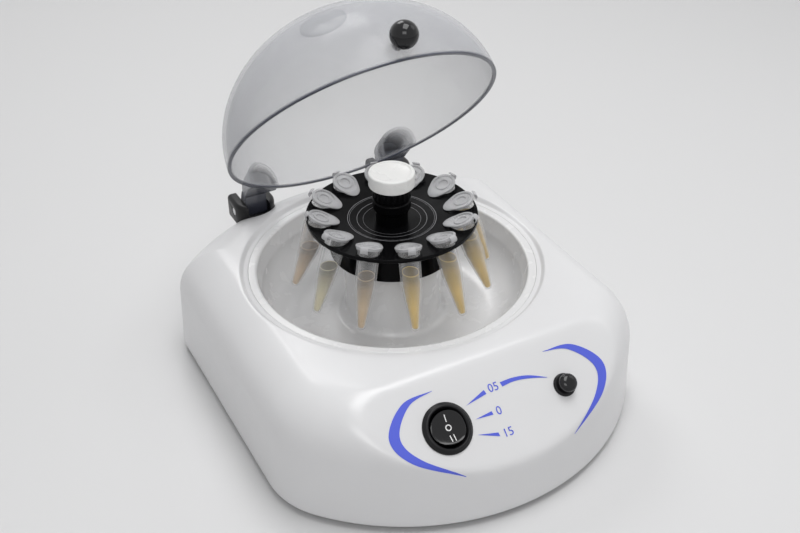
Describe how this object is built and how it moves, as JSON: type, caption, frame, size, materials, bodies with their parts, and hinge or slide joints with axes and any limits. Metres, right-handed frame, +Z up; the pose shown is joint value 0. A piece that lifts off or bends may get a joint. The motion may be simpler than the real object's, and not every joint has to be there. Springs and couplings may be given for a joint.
{
  "type": "mini centrifuge and vortex mixer",
  "caption": "Bench mini centrifuge with slanted tube rotor, vortex mixing cup on its shaft, hinged clear dome lid and a front control panel.",
  "frame": {"origin": "centre of the footprint at bench height", "axes": "+X to the right, +Y to the rear, +Z up; the control panel faces -Y"},
  "size_m": [0.198, 0.234, 0.1985],
  "materials": {
    "white_shell": "satin",
    "dark_plate": "matt",
    "rubber": "matt",
    "bowl_liner": "satin",
    "bright_steel": "brushed",
    "black_plastic": "matt",
    "board_green": "satin",
    "brass": "satin",
    "black_gloss": "gloss",
    "black_rotor": "satin",
    "white_cup": "turned",
    "clear_dome": "clear",
    "tube_plastic": "translucent",
    "dark_screw": "blackened"
  },
  "bodies": {
    "base": {"housing": "white_shell", "base_plate": "dark_plate", "rubber_feet": "rubber", "foot_screws": "bright_steel", "base_screws": "bright_steel", "bowl": "bowl_liner", "bowl_screws": "bright_steel", "motor_can": "bright_steel", "motor_end_cap": "black_plastic", "motor_plate": "bright_steel", "motor_rings": "rubber", "motor_screws": "bright_steel", "shaft_seal": "rubber", "circuit_board": "board_green", "board_parts": "black_plastic", "board_screws": "brass", "power_socket": "black_plastic", "socket_nut": "bright_steel", "hinge_block_left": "black_plastic", "hinge_block_right": "black_plastic", "hinge_screws": "bright_steel", "hinge_pin_left": "bright_steel", "hinge_pin_right": "bright_steel", "switch_body": "black_plastic", "switch_terminals": "brass", "button_body": "black_plastic", "button_nut": "bright_steel"},
    "rotor_body": {"motor_shaft": "bright_steel", "rotor_hub": "bright_steel", "hub_screw": "dark_screw", "rotor": "black_rotor", "vortex_post": "black_rotor", "vortex_cup": "white_cup", "tube_01": "tube_plastic", "tube_02": "tube_plastic", "tube_03": "tube_plastic", "tube_04": "tube_plastic", "tube_05": "tube_plastic", "tube_06": "tube_plastic", "tube_07": "tube_plastic", "tube_08": "tube_plastic", "tube_09": "tube_plastic", "tube_10": "tube_plastic", "tube_11": "tube_plastic", "tube_12": "tube_plastic"},
    "lid_body": {"lid": "clear_dome", "lid_disc": "clear_dome", "lid_knob": "black_gloss", "knob_screw": "bright_steel"},
    "rocker_body": {"rocker": "black_gloss"},
    "button_body_moving": {"button_cap": "black_gloss"}
  },
  "joints": [
    {"name": "lid_hinge", "type": "hinge", "parent": "base", "child": "lid_body", "pos_m": [0, 0.0988, 0.0618], "axis": [1, 0, 0], "range_deg": [-15, 49.6]},
    {"name": "rotor_spin", "type": "hinge", "parent": "base", "child": "rotor_body", "pos_m": [0, 0.0135, 0.09], "axis": [0, 0, 1], "continuous": true},
    {"name": "rocker_tip", "type": "hinge", "parent": "base", "child": "rocker_body", "pos_m": [-0.0296, -0.09375, 0.04444], "axis": [1, 0, 0], "range_deg": [-12, 12]},
    {"name": "button_press", "type": "slide", "parent": "base", "child": "button_body_moving", "axis": [0, 0.6157, -0.788], "range_m": [0, 0.002], "stiffness_N_per_m": 400, "springref_m": -0.001}
  ]
}
